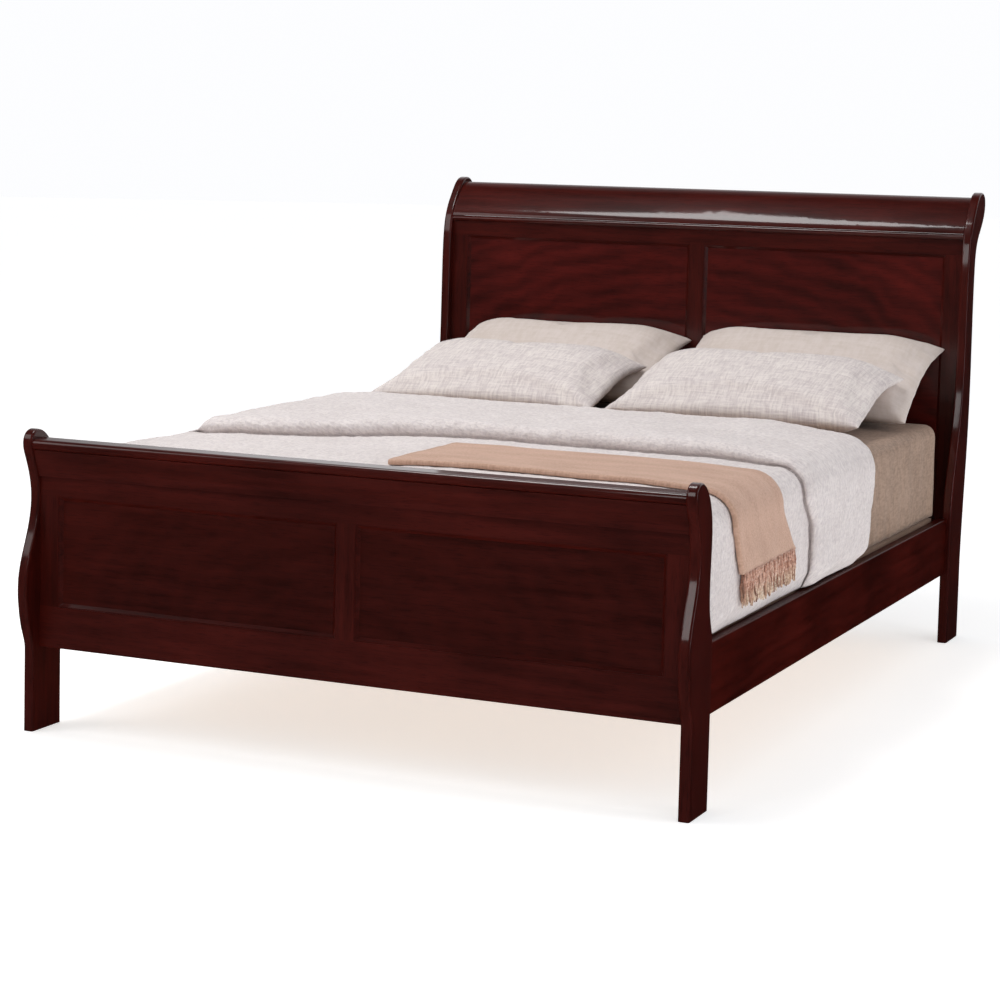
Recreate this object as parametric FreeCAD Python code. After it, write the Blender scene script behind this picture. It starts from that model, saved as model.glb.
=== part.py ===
import FreeCAD, Part
import os

os.makedirs("parts", exist_ok=True)

# Sleigh bed with panelled headboard and footboard, side rails, slats and bedding.
# Millimetres. X runs across the bed, Y from the footboard to the headboard, Z is up.
# The origin is on the floor at the middle of the whole outline.

V = FreeCAD.Vector

# overall sizes
bed_width = 1613.0
post_thick = 25.0
foot_leg_depth = 117.0
head_leg_depth = 130.0
leg_to_leg = 2153.0
front_bulge = 30.0
rear_scroll = 259.5
foot_y = -(leg_to_leg + rear_scroll + front_bulge) / 2 + front_bulge
head_y = foot_y + leg_to_leg
outer_x = bed_width / 2
inner_x = outer_x - post_thick
post_edge_r = 5.0

# footboard
foot_frame_y = foot_y + 27.0
foot_frame_thick = 22.0
foot_bottom_z = 194.0
foot_panel_low_z = 290.0
foot_panel_high_z = 545.0
foot_frame_top_z = 600.0
foot_band_z = 590.0
foot_cap_low_z = 652.0
foot_cap_high_z = 676.0

# headboard
head_frame_y = head_y + 118.0
head_frame_thick = 18.0
head_bottom_z = 194.0
head_panel_low_z = 330.0
head_panel_high_z = 1076.0
head_frame_top_z = 1134.0
bead_r = 8.0

# frames
stile_width = 48.5
centre_stile_width = 45.0
panel_recess = 8.0
panel_thick = 8.0
trim_width = 9.0

# side rails and bed base
rail_outer_x = 793.0
rail_thick = 25.0
rail_low_z = 193.0
rail_high_z = 349.0
rail_start_y = foot_y + foot_leg_depth
rail_end_y = head_y
ledger_size = 25.0
ledger_low_z = 200.0
slat_count = 13
slat_width = 70.0
slat_thick = 19.0
slat_low_z = ledger_low_z + ledger_size
beam_width = 60.0
beam_height = 45.0
support_shares = (0.40, 0.64, 0.88)
support_size = 38.0
glide_r = 14.0
glide_height = 12.0

# bedding
mattress_width = 1520.0
mattress_length = 2032.0
mattress_start_y = foot_y + 112.0
foundation_low_z = slat_low_z + slat_thick + 0.5
foundation_high_z = 355.0
mattress_low_z = 355.5
mattress_high_z = 610.0
sheet_thick = 1.5
sheet_top_z = mattress_high_z + 0.3 + sheet_thick
duvet_thick = 38.0
duvet_low_z = 364.0
duvet_head_y = foot_y + 1305.0
duvet_fold_y = foot_y + 835.0
duvet_fold_thick = 34.0
duvet_side_gap = 4.0
throw_thick = 9.0
throw_front_y = foot_y + 262.0
throw_rear_y = foot_y + 610.0
throw_left_x = 0.0
throw_hem_z = 470.0
fringe_low_z = 395.0
pillow_width = 700.0
pillow_length = 420.0
pillow_thick = 85.0
pillow_round = 40.0


def face_yz(edges):
    """Closed outline in the Y-Z plane made into a face."""
    return Part.Face(Part.Wire(edges))


def line(p, q):
    return Part.makeLine(p, q)


def curve(points, start, end):
    """Smooth curve through the points with given end directions."""
    travel = [0.0]
    for p, q in zip(points, points[1:]):
        travel.append(travel[-1] + p.distanceToPoint(q))
    c = Part.BSplineCurve()
    c.interpolate(Points=points, Parameters=travel, Scale=False,
                  InitialTangent=start.normalize(), FinalTangent=end.normalize())
    return c.toShape()


def box(x0, x1, y0, y1, z0, z1):
    return Part.makeBox(x1 - x0, y1 - y0, z1 - z0, V(x0, y0, z0))


def along_x(points):
    """Edges parallel to X are picked out for rounding by their direction."""
    picked = []
    for edge in points.Edges:
        d = edge.Vertexes[-1].Point - edge.Vertexes[0].Point
        if abs(d.y) < 0.01 and abs(d.z) < 0.01:
            picked.append(edge)
    return picked


def round_long_x(shape, radius):
    return shape.makeFillet(radius, along_x(shape))


def save(name, shape):
    shape.exportStep("parts/" + name + ".step")


def mirror_x(shape):
    return shape.mirror(V(0, 0, 0), V(1, 0, 0))


def foot_post_outline():
    """S-shaped side outline: straight leg, forward bulge, waist, rolled head."""
    shape_points = [
        (0, 190), (-14, 238), (-26, 288), (-30, 332), (-24, 380), (-8, 426), (9, 470), (20, 515),
        (21, 556), (11, 600), (-3, 635), (-12, 662), (-7, 685), (12, 697), (36, 694), (58, 680),
        (77, 655), (90, 622), (95, 585), (93, 520), (92, 455), (98, 412), (110, 380), (117, 350),
    ]
    points = [V(0, foot_y + y, z) for y, z in shape_points]
    low_front = V(0, foot_y, 0)
    low_rear = V(0, foot_y + foot_leg_depth, 0)
    return [
        line(low_front, points[0]),
        curve(points, V(0, 0, 1), V(0, 0, -1)),
        line(points[-1], low_rear),
        line(low_rear, low_front),
    ]


def head_post_outline():
    """Side outline: straight leg, long backward lean, scroll turned to the rear."""
    shape_points = [
        (0, 350), (10, 425), (38, 515), (67, 605), (86, 710), (91, 820), (92, 930), (94, 1030),
        (98, 1084), (108, 1132), (129, 1174), (154, 1207), (176, 1232), (201, 1247), (233, 1248),
        (254, 1234), (259, 1208), (245, 1175), (215, 1143), (187, 1115), (170, 1080), (164, 1030),
        (163, 930), (166, 820), (168, 700), (165, 600), (157, 500), (147, 410), (138, 325), (132, 250), (130, 190),
    ]
    points = [V(0, head_y + y, z) for y, z in shape_points]
    low_front = V(0, head_y, 0)
    low_rear = V(0, head_y + head_leg_depth, 0)
    return [
        line(low_front, points[0]),
        curve(points, V(0, 0, 1), V(0, 0, -1)),
        line(points[-1], low_rear),
        line(low_rear, low_front),
    ]


def post(outline, x_low):
    """Board cut to the outline with softened long edges."""
    board = face_yz(outline).extrude(V(post_thick, 0, 0))
    board.translate(V(x_low, 0, 0))
    edges = []
    for edge in board.Edges:
        reach = edge.BoundBox
        if reach.XMax - reach.XMin < 0.01 and reach.ZMax > 1.0:
            edges.append(edge)
    return board.makeFillet(post_edge_r, edges)


def post_pair(prefix, outline, y_face, direction):
    """Right and left posts with the pockets for the rail hooks cut out."""
    cutters = hook_cutter(y_face, direction)
    right = post(outline, inner_x)
    left = post(outline, -outer_x)
    for cutter in cutters:
        right = right.cut(cutter)
        left = left.cut(mirror_x(cutter))
    save(prefix + "_post_right", right)
    save(prefix + "_post_left", left)


def hook_cutter(y_face, direction):
    """Space inside a post for the two hooks of a rail end."""
    cutters = []
    for z in (235.0, 295.0):
        y0 = min(y_face, y_face + direction * 16.5)
        y1 = max(y_face, y_face + direction * 16.5)
        cutters.append(box(784.0, 790.0, y0, y1, z - 21.0, z + 9.0))
    y0 = min(y_face, y_face + direction * 3.0)
    y1 = max(y_face, y_face + direction * 3.0)
    cutters.append(box(783.0, 793.0, y0, y1, 205.0, 325.0))
    return cutters


def slot_plate(y_face, direction):
    """Steel plate let into a post, with one tall slot per hook."""
    y0 = min(y_face, y_face + direction * 3.0)
    y1 = max(y_face, y_face + direction * 3.0)
    plate = box(783.0, 793.0, y0, y1, 205.0, 325.0)
    for z in (235.0, 295.0):
        plate = plate.cut(box(784.0, 790.0, y0 - 1, y1 + 1, z - 21.0, z + 9.0))
    return plate


def hook_plate(y_face, direction):
    """Steel plate on a rail end with two downward hooks."""
    y0 = min(y_face, y_face - direction * 3.0)
    y1 = max(y_face, y_face - direction * 3.0)
    plate = box(774.0, 790.0, y0, y1, 208.0, 322.0)
    for z in (235.0, 295.0):
        s0 = min(y_face, y_face + direction * 15.0)
        s1 = max(y_face, y_face + direction * 15.0)
        t0 = min(y_face + direction * 7.0, y_face + direction * 15.0)
        t1 = max(y_face + direction * 7.0, y_face + direction * 15.0)
        shank = box(785.0, 789.0, s0, s1, z - 6.0, z + 8.0)
        tip = box(785.0, 789.0, t0, t1, z - 18.0, z - 5.9)
        plate = plate.fuse([shank, tip]).removeSplitter()
    return plate


def rail(x_outer):
    """Side rail with eased long edges and pockets for its end plates."""
    body = box(x_outer - rail_thick, x_outer, rail_start_y, rail_end_y, rail_low_z, rail_high_z)
    edges = []
    for edge in body.Edges:
        d = edge.Vertexes[-1].Point - edge.Vertexes[0].Point
        if abs(d.y) > 100.0:
            edges.append(edge)
    body = body.makeFillet(4.0, edges)
    body = body.cut(box(774.0, 790.0, rail_start_y - 1, rail_start_y + 3.0, 208.0, 322.0))
    return body.cut(box(774.0, 790.0, rail_end_y - 3.0, rail_end_y + 1, 208.0, 322.0))


def panel_trim(x0, x1, z0, z1, y_front, depth):
    """Mitred frame moulding round a panel, sloping inwards to the panel face."""
    outer = Part.makePolygon([V(x0, y_front, z0), V(x1, y_front, z0), V(x1, y_front, z1),
                              V(x0, y_front, z1), V(x0, y_front, z0)])
    w = trim_width
    inner = Part.makePolygon([V(x0 + w, y_front + depth, z0 + w), V(x1 - w, y_front + depth, z0 + w),
                              V(x1 - w, y_front + depth, z1 - w), V(x0 + w, y_front + depth, z1 - w),
                              V(x0 + w, y_front + depth, z0 + w)])
    hollow = Part.makeLoft([outer, inner], True, True)
    block = box(x0, x1, y_front + 1.5, y_front + depth, z0, z1)
    return block.cut(hollow)


def framed_board(prefix, y_front, thick, z_low, z_panel_low, z_panel_high, z_top):
    """Rails, stiles, panels and panel mouldings of one end of the bed."""
    y_back = y_front + thick
    half = centre_stile_width / 2
    stile_x = inner_x - stile_width
    save(prefix + "_bottom_rail", round_bottom(box(-inner_x, inner_x, y_front, y_back, z_low, z_panel_low)))
    save(prefix + "_top_rail", box(-inner_x, inner_x, y_front, y_back, z_panel_high, z_top))
    side = box(stile_x, inner_x, y_front, y_back, z_panel_low, z_panel_high)
    save(prefix + "_stile_right", side)
    save(prefix + "_stile_left", mirror_x(side))
    save(prefix + "_stile_centre", box(-half, half, y_front, y_back, z_panel_low, z_panel_high))
    y_panel = y_front + panel_recess
    panel = box(half, stile_x, y_panel, y_panel + panel_thick, z_panel_low, z_panel_high)
    save(prefix + "_panel_right", panel)
    save(prefix + "_panel_left", mirror_x(panel))
    trim = panel_trim(half, stile_x, z_panel_low, z_panel_high, y_front, panel_recess)
    save(prefix + "_trim_right", trim)
    save(prefix + "_trim_left", mirror_x(trim))


def round_bottom(shape):
    """Eases the lower front and rear edges of a bottom rail."""
    low = shape.BoundBox.ZMin
    edges = [edge for edge in along_x(shape) if edge.BoundBox.ZMax < low + 1.0]
    return shape.makeFillet(3.0, edges)


def extrude_across(edges):
    board = face_yz(edges).extrude(V(2 * inner_x, 0, 0))
    board.translate(V(-inner_x, 0, 0))
    return board


def foot_band():
    """Board under the cap, hollow in front and leaning outwards at its top."""
    front = [V(0, foot_y + 19, foot_band_z), V(0, foot_y + 12, 612), V(0, foot_y + 2, 634),
             V(0, foot_y - 3, foot_cap_low_z)]
    rear_top = V(0, foot_y + 46, foot_cap_low_z)
    rear_low = V(0, foot_y + 66, foot_frame_top_z)
    low = V(0, foot_frame_y, foot_band_z)
    step = V(0, foot_frame_y, foot_frame_top_z)
    return extrude_across([
        curve(front, V(0, -0.2, 1), V(0, -0.35, 1)),
        line(front[-1], rear_top),
        line(rear_top, rear_low),
        line(rear_low, step),
        line(step, low),
        line(low, front[0]),
    ])


def foot_cap():
    """Rounded bar along the top of the footboard."""
    y0 = foot_y - 9.0
    y1 = foot_y + 56.0
    bar = box(-inner_x, inner_x, y0, y1, foot_cap_low_z, foot_cap_high_z)
    front = [edge for edge in along_x(bar) if edge.BoundBox.YMax < y0 + 1.0]
    bar = bar.makeFillet(11.0, front)
    rear = [edge for edge in along_x(bar) if edge.BoundBox.YMin > y1 - 1.0]
    return bar.makeFillet(9.0, rear)


def head_crown():
    """Curved top board of the headboard, sweeping up and to the rear."""
    front = [V(0, head_y + 113, 1135.5), V(0, head_y + 118, 1150), V(0, head_y + 132, 1170),
             V(0, head_y + 154, 1196), V(0, head_y + 176, 1218), V(0, head_y + 196, 1231)]
    nose = [V(0, head_y + 196, 1231), V(0, head_y + 214, 1235), V(0, head_y + 224, 1224),
            V(0, head_y + 214, 1205)]
    rear = [V(0, head_y + 214, 1205), V(0, head_y + 190, 1176), V(0, head_y + 162, 1148),
            V(0, head_y + 154, 1135.5)]
    return extrude_across([
        curve(front, V(0, 0.1, 1), V(0, 1, 0.5)),
        curve(nose, V(0, 1, 0.5), V(0, -0.6, -1)),
        curve(rear, V(0, -0.6, -1), V(0, -0.1, -1)),
        line(rear[-1], front[0]),
    ])


def head_bead():
    """Half-round moulding under the crown."""
    centre = V(-inner_x, head_frame_y, 1127.0)
    rod = Part.makeCylinder(bead_r, 2 * inner_x, centre, V(1, 0, 0))
    return rod.cut(box(-outer_x, outer_x, head_frame_y, head_frame_y + 20, 1110, 1140))


def slats():
    """Equal slats between the rails, resting on the ledgers and the centre beam."""
    reach = rail_outer_x - rail_thick - 2.0
    first = rail_start_y + 55.0
    last = rail_end_y - 55.0 - slat_width
    pitch = (last - first) / (slat_count - 1)
    solids = []
    for i in range(slat_count):
        y = first + i * pitch
        board = box(-reach, reach, y, y + slat_width, slat_low_z, slat_low_z + slat_thick)
        solids.append(board)
    return Part.makeCompound(solids)


def screw(x, y, z, sign):
    """Countersunk wood screw driven outwards across the bed."""
    head = Part.makeCone(4.0, 2.0, 3.0, V(x, y, z), V(sign, 0, 0))
    shank = Part.makeCylinder(2.0, 32.0, V(x, y, z), V(sign, 0, 0))
    return head.fuse(shank).removeSplitter()


def ledger_screws(sign):
    solids = []
    for i in range(6):
        y = rail_start_y + 120.0 + i * 360.0
        solids.append(screw(sign * (rail_outer_x - rail_thick - ledger_size), y, 212.5, sign))
    return solids


def support_positions():
    """Places along the beam, more of them where sleepers weigh most, as shares of the rail length."""
    return [rail_start_y + share * (rail_end_y - rail_start_y) for share in support_shares]


def rounded_block(width, length, height, radius):
    """Soft block centred on the origin."""
    block = box(-width / 2, width / 2, -length / 2, length / 2, -height / 2, height / 2)
    return block.makeFillet(radius, block.Edges)


def pillow(x, y, z, slope, turn):
    """Pillow laid back at a slope."""
    body = rounded_block(pillow_width, pillow_length, pillow_thick, pillow_round)
    body.rotate(V(0, 0, 0), V(1, 0, 0), slope)
    body.rotate(V(0, 0, 0), V(0, 0, 1), turn)
    body.translate(V(x, y, z))
    return body


def build_headboard():
    post_pair("headboard", head_post_outline(), head_y, 1)
    framed_board("headboard", head_frame_y, head_frame_thick, head_bottom_z,
                 head_panel_low_z, head_panel_high_z, head_frame_top_z)
    save("headboard_crown", head_crown())
    save("headboard_bead", head_bead())


def build_footboard():
    post_pair("footboard", foot_post_outline(), rail_start_y, -1)
    framed_board("footboard", foot_frame_y, foot_frame_thick, foot_bottom_z,
                 foot_panel_low_z, foot_panel_high_z, foot_frame_top_z)
    save("footboard_band", foot_band())
    save("footboard_cap", foot_cap())


def build_base():
    right_rail = rail(rail_outer_x)
    ledger_x = rail_outer_x - rail_thick - ledger_size
    ledger = box(ledger_x, ledger_x + ledger_size, rail_start_y + 40, rail_end_y - 40,
                 ledger_low_z, ledger_low_z + ledger_size)
    screws = ledger_screws(1)
    for fastener in screws:
        right_rail = right_rail.cut(fastener)
        ledger = ledger.cut(fastener)
    save("side_rail_right", right_rail)
    save("side_rail_left", mirror_x(right_rail))
    save("ledger_right", ledger)
    save("ledger_left", mirror_x(ledger))
    save("ledger_screws", Part.makeCompound(screws + [mirror_x(s) for s in screws]))
    hooks = [hook_plate(rail_start_y, -1), hook_plate(rail_end_y, 1)]
    save("rail_hook_plates", Part.makeCompound(hooks + [mirror_x(h) for h in hooks]))
    plates = [slot_plate(rail_start_y, -1), slot_plate(rail_end_y, 1)]
    save("post_slot_plates", Part.makeCompound(plates + [mirror_x(p) for p in plates]))
    save("slats", slats())
    beam = box(-beam_width / 2, beam_width / 2, rail_start_y + 20, rail_end_y - 20,
               slat_low_z - beam_height, slat_low_z)
    save("centre_beam", beam)
    legs = []
    glides = []
    half = support_size / 2
    for y in support_positions():
        legs.append(box(-half, half, y - half, y + half, glide_height, slat_low_z - beam_height))
        glides.append(Part.makeCylinder(glide_r, glide_height, V(0, y, 0)))
    save("support_legs", Part.makeCompound(legs))
    save("support_glides", Part.makeCompound(glides))


def build_bedding():
    half = mattress_width / 2
    y0 = mattress_start_y
    y1 = y0 + mattress_length
    base = box(-half, half, y0, y1, foundation_low_z, foundation_high_z)
    save("foundation", base.makeFillet(12.0, base.Edges))
    core = box(-half, half, y0, y1, mattress_low_z, mattress_high_z)
    save("mattress", core.makeFillet(30.0, core.Edges))
    gap = 0.3
    skin = box(-half - gap - sheet_thick, half + gap + sheet_thick, y0 - gap - sheet_thick,
               y1 + gap + sheet_thick, mattress_low_z + 6.0, sheet_top_z)
    skin = skin.makeFillet(31.8, [e for e in skin.Edges if e.BoundBox.ZMax > mattress_low_z + 7.0])
    hollow = box(-half - gap, half + gap, y0 - gap, y1 + gap, mattress_low_z - 20.0, mattress_high_z + gap)
    hollow = hollow.makeFillet(30.3, [e for e in hollow.Edges if e.BoundBox.ZMax > mattress_low_z])
    save("fitted_sheet", skin.cut(hollow))
    build_duvet(half, y0)
    build_pillows()


def build_duvet(half, y0):
    """Duvet over the mattress, down both sides and the foot, turned back at the head."""
    inner = half + duvet_side_gap
    outer = inner + 24.0
    foot_inner = y0 - duvet_side_gap
    foot_outer = foot_inner - 24.0
    low = sheet_top_z + 0.5
    high = low + duvet_thick
    block = box(-outer, outer, foot_outer, duvet_head_y, duvet_low_z, high)
    block = block.makeFillet(14.0, [e for e in block.Edges if e.BoundBox.ZMin > high - 1.0])
    space = box(-inner, inner, foot_inner, duvet_head_y + 50, duvet_low_z - 20, low)
    cover = block.cut(space)
    corner = box(inner_x - 2, outer + 2, foot_outer - 1, rail_start_y + 8, duvet_low_z - 1, high + 1)
    cover = cover.cut(corner).cut(mirror_x(corner))
    lap = box(-outer + 8, outer - 8, duvet_fold_y, duvet_head_y, high - 5.0, high + duvet_fold_thick)
    lap = lap.makeFillet(9.0, [e for e in lap.Edges if e.BoundBox.ZMin > high + 5.0])
    save("duvet", cover.fuse(lap).removeSplitter())
    blanket_low = high + 0.5
    blanket_inner = outer + 0.5
    blanket = box(throw_left_x, blanket_inner + throw_thick, throw_front_y, throw_rear_y,
                  throw_hem_z, blanket_low + throw_thick)
    under = box(throw_left_x - 50, blanket_inner, throw_front_y - 50, throw_rear_y + 50,
                throw_hem_z - 50, blanket_low)
    save("throw", blanket.cut(under))
    fringe = box(blanket_inner + 1.0, blanket_inner + throw_thick - 1.0, throw_front_y, throw_rear_y,
                 fringe_low_z, throw_hem_z)
    save("throw_fringe", fringe)


def build_pillows():
    """Two pillows against the headboard and two in front leaning on them."""
    rest = sheet_top_z + 0.5
    back_y = head_frame_y - 200.0
    front_y = head_frame_y - 509.0
    save("pillow_back_right", pillow(395.0, back_y, rest + 127.5, 30.0, 0.0))
    save("pillow_back_left", pillow(-352.0, back_y, rest + 127.5, 30.0, 0.0))
    save("pillow_front_right", pillow(360.0, front_y, rest + 92.5, 17.0, 0.0))
    save("pillow_front_left", pillow(-400.0, front_y, rest + 92.5, 17.0, 0.0))


build_headboard()
build_footboard()
build_base()
build_bedding()
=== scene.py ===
import math
import random

import bmesh
import bpy
import numpy as np
from mathutils import Matrix, Vector, noise


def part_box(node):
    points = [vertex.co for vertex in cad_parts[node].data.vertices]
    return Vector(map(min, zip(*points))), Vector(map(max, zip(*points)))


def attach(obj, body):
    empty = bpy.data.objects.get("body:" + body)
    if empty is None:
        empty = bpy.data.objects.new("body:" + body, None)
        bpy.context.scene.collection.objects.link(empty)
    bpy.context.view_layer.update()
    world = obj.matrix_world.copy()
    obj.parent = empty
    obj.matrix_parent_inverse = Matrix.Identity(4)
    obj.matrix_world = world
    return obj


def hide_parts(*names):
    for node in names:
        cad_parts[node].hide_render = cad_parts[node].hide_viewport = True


# Sleigh bed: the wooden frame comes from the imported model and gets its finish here. The bedding
# is made here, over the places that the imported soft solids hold. Metres throughout.

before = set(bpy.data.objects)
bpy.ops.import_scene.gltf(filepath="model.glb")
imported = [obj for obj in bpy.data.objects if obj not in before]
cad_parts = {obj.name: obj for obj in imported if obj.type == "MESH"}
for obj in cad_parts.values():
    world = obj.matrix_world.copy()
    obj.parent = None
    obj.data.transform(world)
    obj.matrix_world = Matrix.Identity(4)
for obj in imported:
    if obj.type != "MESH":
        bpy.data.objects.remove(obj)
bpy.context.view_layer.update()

# places taken from the frame
SHEET_LO, SHEET_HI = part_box("fitted_sheet")
MATTRESS_LO, MATTRESS_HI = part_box("mattress")
FOUNDATION_LO, FOUNDATION_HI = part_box("foundation")
THROW_LO, THROW_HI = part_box("throw")
FRINGE_LO, FRINGE_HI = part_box("throw_fringe")
RAIL_LO, RAIL_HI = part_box("side_rail_right")
HEAD_RAIL_FRONT_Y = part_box("headboard_top_rail")[0].y
FOOT_LEG_DEPTH = 0.117
LEG_FRONT_Y = RAIL_LO.y - FOOT_LEG_DEPTH


def smooth(t):
    """Smooth step from 0 to 1, for arrays and numbers."""
    t = np.clip(t, 0.0, 1.0)
    return t * t * (3.0 - 2.0 * t)


def rough(x, y, z, scale, seed):
    """Smooth noise from -1 to 1 at each point, with features about 1/scale metres wide."""
    flat = zip(np.ravel(x), np.ravel(y), np.ravel(z))
    values = [noise.noise(Vector((a * scale + seed, b * scale, c * scale))) for a, b, c in flat]
    return np.array(values).reshape(np.shape(x))


# ---------------------------------------------------------------- camera

CAMERA_PLACE = (2.488, LEG_FRONT_Y - 4.929, 1.402)
CAMERA_YAW = 0.4340
CAMERA_PITCH = -0.0974
CAMERA_ROLL = 0.0222
CAMERA_LENS = 93.49
CAMERA_SHIFT = (0.07, -0.12)


def add_camera():
    data = bpy.data.cameras.new("camera")
    data.lens = CAMERA_LENS
    data.sensor_width = 36.0
    data.shift_x, data.shift_y = CAMERA_SHIFT
    data.clip_start = 0.1
    data.clip_end = 200.0
    camera = bpy.data.objects.new("camera", data)
    turn = Matrix.Rotation(CAMERA_YAW, 4, "Z") @ Matrix.Rotation(math.pi / 2 + CAMERA_PITCH, 4, "X")
    turn = turn @ Matrix.Rotation(CAMERA_ROLL, 4, "Z")
    camera.matrix_world = Matrix.Translation(CAMERA_PLACE) @ turn
    bpy.context.scene.collection.objects.link(camera)
    bpy.context.scene.camera = camera


# ---------------------------------------------------------------- materials

class Nodes:
    """Short helpers for building one node material."""

    def __init__(self, name):
        self.material = bpy.data.materials.new(name)
        self.material.use_nodes = True
        self.tree = self.material.node_tree
        self.tree.nodes.clear()
        self.out = self.add("ShaderNodeOutputMaterial")
        self.shader = self.add("ShaderNodeBsdfPrincipled")
        self.link(self.shader.outputs[0], self.out.inputs[0])

    def add(self, kind, **values):
        node = self.tree.nodes.new(kind)
        for key, value in values.items():
            setattr(node, key, value)
        return node

    def link(self, a, b):
        self.tree.links.new(a, b)

    def set(self, **values):
        """Constant values on the shader's own sockets."""
        for key, value in values.items():
            self.shader.inputs[key.replace("_", " ")].default_value = value

    def place(self, source, scale, seed=0.0, shift=None):
        """Coordinates in metres from the object or the cloth attribute, scaled per axis, then shifted."""
        if source == "cloth":
            coords = self.add("ShaderNodeAttribute", attribute_name="cloth").outputs["Vector"]
        else:
            coords = self.add("ShaderNodeTexCoord").outputs["Object"]
        mapping = self.add("ShaderNodeMapping")
        mapping.inputs["Scale"].default_value = scale
        mapping.inputs["Location"].default_value = shift or (seed, seed * 1.7, seed * 0.6)
        self.link(coords, mapping.inputs["Vector"])
        return mapping.outputs[0]

    def noise(self, vector, scale=1.0, detail=4.0, roughness=0.55, distortion=0.0):
        node = self.add("ShaderNodeTexNoise")
        node.inputs["Scale"].default_value = scale
        node.inputs["Detail"].default_value = detail
        node.inputs["Roughness"].default_value = roughness
        node.inputs["Distortion"].default_value = distortion
        self.link(vector, node.inputs["Vector"])
        return node.outputs["Fac"]

    def wave(self, vector, direction, scale, distortion=0.0, detail=2.0, detail_scale=1.0):
        node = self.add("ShaderNodeTexWave", bands_direction=direction)
        node.inputs["Scale"].default_value = scale
        node.inputs["Distortion"].default_value = distortion
        node.inputs["Detail"].default_value = detail
        node.inputs["Detail Scale"].default_value = detail_scale
        self.link(vector, node.inputs["Vector"])
        return node.outputs["Fac"]

    def arcs(self, vector, scale, distortion):
        """Wide concentric bands about the vector's origin."""
        node = self.add("ShaderNodeTexWave", wave_type="RINGS", rings_direction="Y")
        node.inputs["Scale"].default_value = scale
        node.inputs["Distortion"].default_value = distortion
        node.inputs["Detail"].default_value = 3.0
        node.inputs["Detail Scale"].default_value = 1.4
        self.link(vector, node.inputs["Vector"])
        return node.outputs["Fac"]

    def ramp(self, value, stops):
        node = self.add("ShaderNodeValToRGB")
        elements = node.color_ramp.elements
        while len(elements) < len(stops):
            elements.new(0.5)
        for element, (position, color) in zip(elements, stops):
            element.position = position
            element.color = (*color, 1.0)
        self.link(value, node.inputs["Fac"])
        return node.outputs["Color"]

    def blend(self, factor, a, b, mode="MIX"):
        """Mixes two colours; each of the three is a socket, a number or a colour."""
        node = self.add("ShaderNodeMix", data_type="RGBA", blend_type=mode)
        for socket, value in ((node.inputs[0], factor), (node.inputs[6], a), (node.inputs[7], b)):
            if isinstance(value, bpy.types.NodeSocket):
                self.link(value, socket)
            elif isinstance(value, tuple):
                socket.default_value = (*value, 1.0)
            else:
                socket.default_value = value
        return node.outputs[2]

    def math(self, operation, a, b=0.5):
        node = self.add("ShaderNodeMath", operation=operation)
        for socket, value in zip(node.inputs, (a, b)):
            if isinstance(value, bpy.types.NodeSocket):
                self.link(value, socket)
            else:
                socket.default_value = value
        return node.outputs[0]

    def range(self, value, low, high):
        node = self.add("ShaderNodeMapRange")
        node.inputs["To Min"].default_value = low
        node.inputs["To Max"].default_value = high
        self.link(value, node.inputs["Value"])
        return node.outputs[0]

    def bump(self, height, strength, distance, under=None):
        node = self.add("ShaderNodeBump")
        node.inputs["Strength"].default_value = strength
        node.inputs["Distance"].default_value = distance
        self.link(height, node.inputs["Height"])
        if under is not None:
            self.link(under, node.inputs["Normal"])
        return node.outputs[0]


FIGURE_CENTRE = (0.03, 0.0, -0.22)
AXIS_STRETCH = {"x": (0.07, 1.0, 1.0), "y": (1.0, 0.07, 1.0), "z": (1.0, 1.0, 0.07)}


def cherry(name, axis, seed, dark, light, figure=0.0, gloss=0.6, shine=0.12):
    """Dark cherry stain under lacquer. The grain runs along the axis, and figure adds sweeping arcs."""
    m = Nodes(name)
    along = m.place("object", AXIS_STRETCH[axis], seed)
    streaks = m.noise(along, 60.0, 6.0, 0.6, 0.3)
    pores = m.noise(along, 420.0, 3.0, 0.6)
    blotch = m.noise(m.place("object", (1.0, 1.0, 1.0), seed + 3.0), 3.2, 3.0, 0.5, 0.4)
    tone = m.blend(0.45, streaks, blotch)
    if figure > 0.0:
        sweep = m.place("object", (0.8, 0.0, 1.0), shift=FIGURE_CENTRE)
        tone = m.blend(figure, tone, m.arcs(sweep, 6.0, 6.0))
    color = m.ramp(tone, [(0.30, dark), (0.72, light)])
    pits = m.ramp(pores, [(0.36, (0.45, 0.4, 0.4)), (0.46, (1.0, 1.0, 1.0))])
    color = m.blend(0.6, color, pits, "MULTIPLY")
    m.link(color, m.shader.inputs["Base Color"])
    m.link(m.range(streaks, 0.30, 0.42), m.shader.inputs["Roughness"])
    m.link(m.bump(pores, 0.05, 0.0004), m.shader.inputs["Normal"])
    m.set(Specular_IOR_Level=shine, Coat_Weight=gloss, Coat_Roughness=0.09, Coat_IOR=1.5)
    return m.material


def bare_pine(name, axis, seed):
    m = Nodes(name)
    along = m.place("object", AXIS_STRETCH[axis], seed)
    rings = m.wave(along, "X" if axis != "x" else "Y", 22.0, 4.0, 3.0, 1.5)
    fibres = m.noise(along, 200.0, 4.0)
    color = m.ramp(m.blend(0.35, rings, fibres), [(0.2, (0.70, 0.50, 0.29)), (0.8, (0.52, 0.33, 0.16))])
    m.link(color, m.shader.inputs["Base Color"])
    m.link(m.bump(fibres, 0.15, 0.0005), m.shader.inputs["Normal"])
    m.set(Roughness=0.62)
    return m.material


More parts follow.
